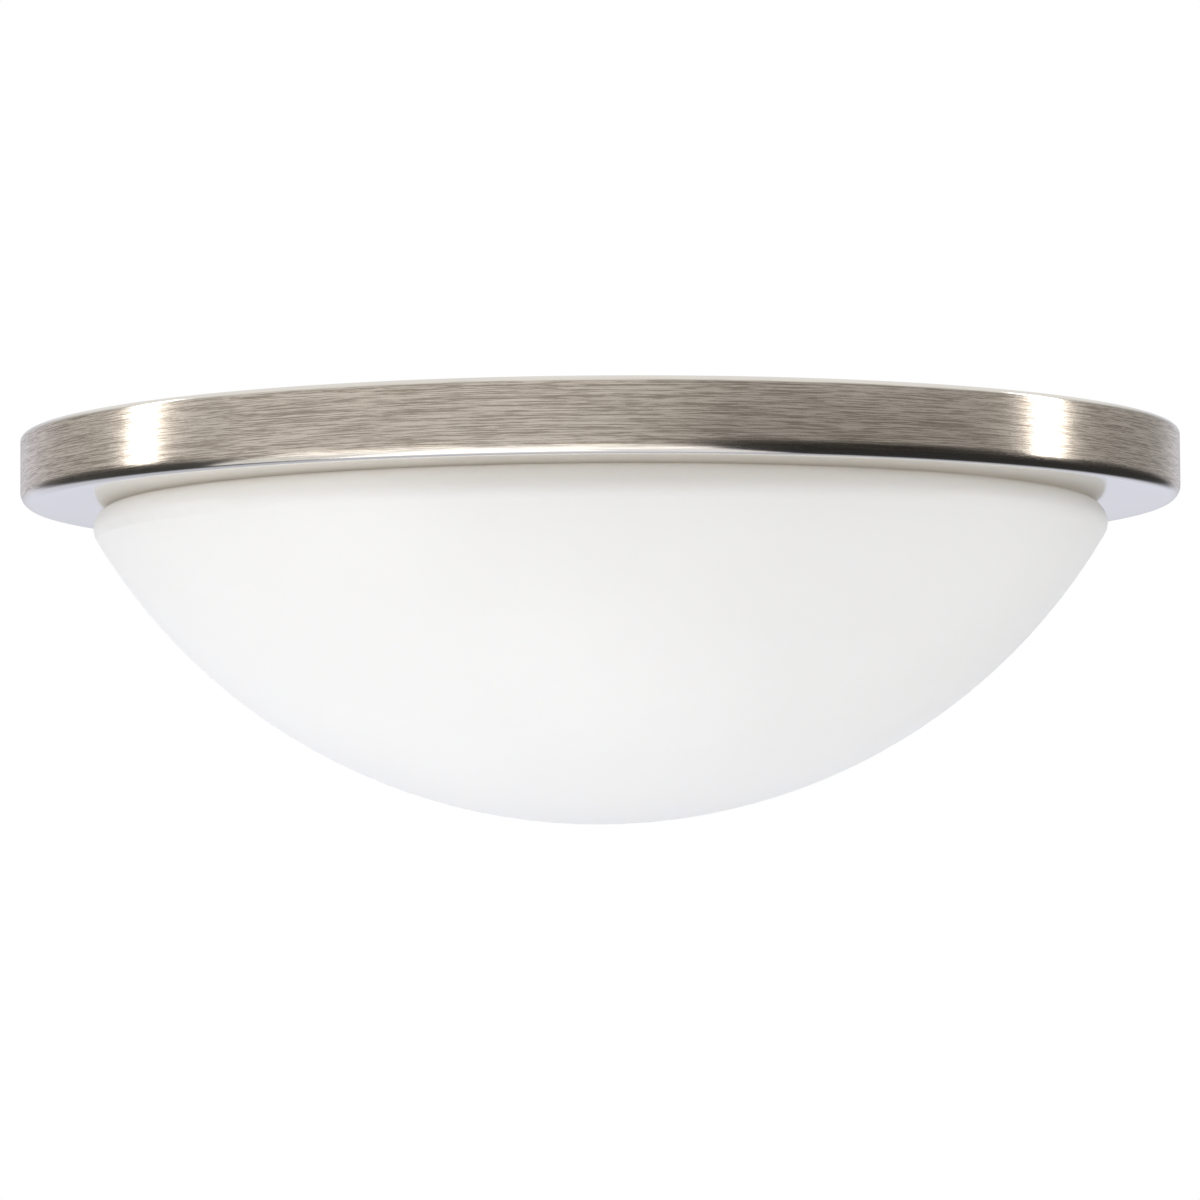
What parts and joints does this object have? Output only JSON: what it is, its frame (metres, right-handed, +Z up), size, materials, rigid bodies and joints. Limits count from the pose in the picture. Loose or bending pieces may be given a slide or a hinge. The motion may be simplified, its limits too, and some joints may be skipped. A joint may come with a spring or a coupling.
{
  "type": "flush mount ceiling light",
  "caption": "Round flush mount ceiling light: stamped brushed-nickel pan, opal glass bowl twisted onto sprung clips, screw-base lamps inside.",
  "frame": {"origin": "middle of the ceiling plane, at the mounting bar's top face between its two box slots", "axes": "+Z up into the ceiling, along the light's axis; +X along the mounting bar"},
  "size_m": [0.3556, 0.3556, 0.1186],
  "materials": {
    "nickel": "circumferentially brushed satin nickel plate",
    "reflector_white": "baked white enamel, satin",
    "fibre_pad": "glass-fibre felt, matte",
    "zinc": "bright zinc plate, satin",
    "nut_nickel": "nickel plate, polished",
    "ground_green": "green dyed zinc plate, satin",
    "bushing_black": "moulded nylon, matte",
    "lead_black": "insulation, satin",
    "lead_white": "insulation, satin",
    "porcelain": "white glaze, glossy",
    "shell_aluminium": "bright drawn sheet",
    "contact_brass": "spring brass, satin",
    "rivet_aluminium": "headed, satin",
    "spring_steel": "tempered strip, satin",
    "sleeve_clear": "soft translucent sleeve",
    "gasket_foam": "closed-cell foam, matte",
    "opal_glass": "opal glass, satin-etched outside",
    "lamp_housing": "white moulding, satin",
    "lamp_globe": "frosted diffuser",
    "lamp_cap": "rolled sheet, bright",
    "insulator_dark": "dark insulator, glossy",
    "board_aluminium": "white-masked board"
  },
  "bodies": {
    "fixture": {"pan": "nickel", "reflector_plate": "reflector_white", "insulation_pad": "fibre_pad", "mounting_bar": "zinc", "mounting_studs": "zinc", "mounting_washers": "zinc", "mounting_nuts": "nut_nickel", "ground_screw": "ground_green", "wire_bushing": "bushing_black", "leads_black": "lead_black", "leads_white": "lead_white", "bracket_rivets": "rivet_aluminium", "glass_clips": "spring_steel", "clip_sleeves": "sleeve_clear", "clip_rivets": "rivet_aluminium", "lampholder_1_bracket": "zinc", "lampholder_1_body": "porcelain", "lampholder_1_shell": "shell_aluminium", "lampholder_1_contact": "contact_brass", "lampholder_1_screws": "zinc", "lampholder_2_bracket": "zinc", "lampholder_2_body": "porcelain", "lampholder_2_shell": "shell_aluminium", "lampholder_2_contact": "contact_brass", "lampholder_2_screws": "zinc"},
    "gasket": {"neck_gasket": "gasket_foam"},
    "glass": {"glass_shade": "opal_glass"},
    "lamp_1_end": {"lamp_1_contact": "contact_brass"},
    "lamp_1": {"lamp_1_insulator": "insulator_dark", "lamp_1_cap": "lamp_cap", "lamp_1_body": "lamp_housing", "lamp_1_globe": "lamp_globe", "lamp_1_board": "board_aluminium"},
    "lamp_2_end": {"lamp_2_contact": "contact_brass"},
    "lamp_2": {"lamp_2_insulator": "insulator_dark", "lamp_2_cap": "lamp_cap", "lamp_2_body": "lamp_housing", "lamp_2_globe": "lamp_globe", "lamp_2_board": "board_aluminium"}
  },
  "joints": [
    {"name": "glass_drop", "type": "slide", "parent": "fixture", "child": "gasket", "axis": [0, 0, -1], "range_m": [0, 0.08], "deforming": ["glass_clips", "clip_sleeves"]},
    {"name": "glass_twist", "type": "hinge", "parent": "gasket", "child": "glass", "pos_m": [0, 0, -0.0125], "axis": [0, 0, -1], "range_deg": [0, 20]},
    {"name": "lamp_1_out", "type": "slide", "parent": "fixture", "child": "lamp_1_end", "axis": [1, 0, 0], "range_m": [0, 0.0182]},
    {"name": "lamp_1_turn", "type": "hinge", "parent": "lamp_1_end", "child": "lamp_1", "pos_m": [-0.052, 0.036, -0.046], "axis": [1, 0, 0], "range_deg": [0, 1800]},
    {"name": "lamp_2_out", "type": "slide", "parent": "fixture", "child": "lamp_2_end", "axis": [-1, 0, 0], "range_m": [0, 0.0182]},
    {"name": "lamp_2_turn", "type": "hinge", "parent": "lamp_2_end", "child": "lamp_2", "pos_m": [0.052, -0.036, -0.046], "axis": [-1, 0, 0], "range_deg": [0, 1800]}
  ],
  "couplings": [
    {"joint": "lamp_1_out", "follows": "lamp_1_turn", "m_per_rad": 0.00057757},
    {"joint": "lamp_2_out", "follows": "lamp_2_turn", "m_per_rad": 0.00057757}
  ]
}
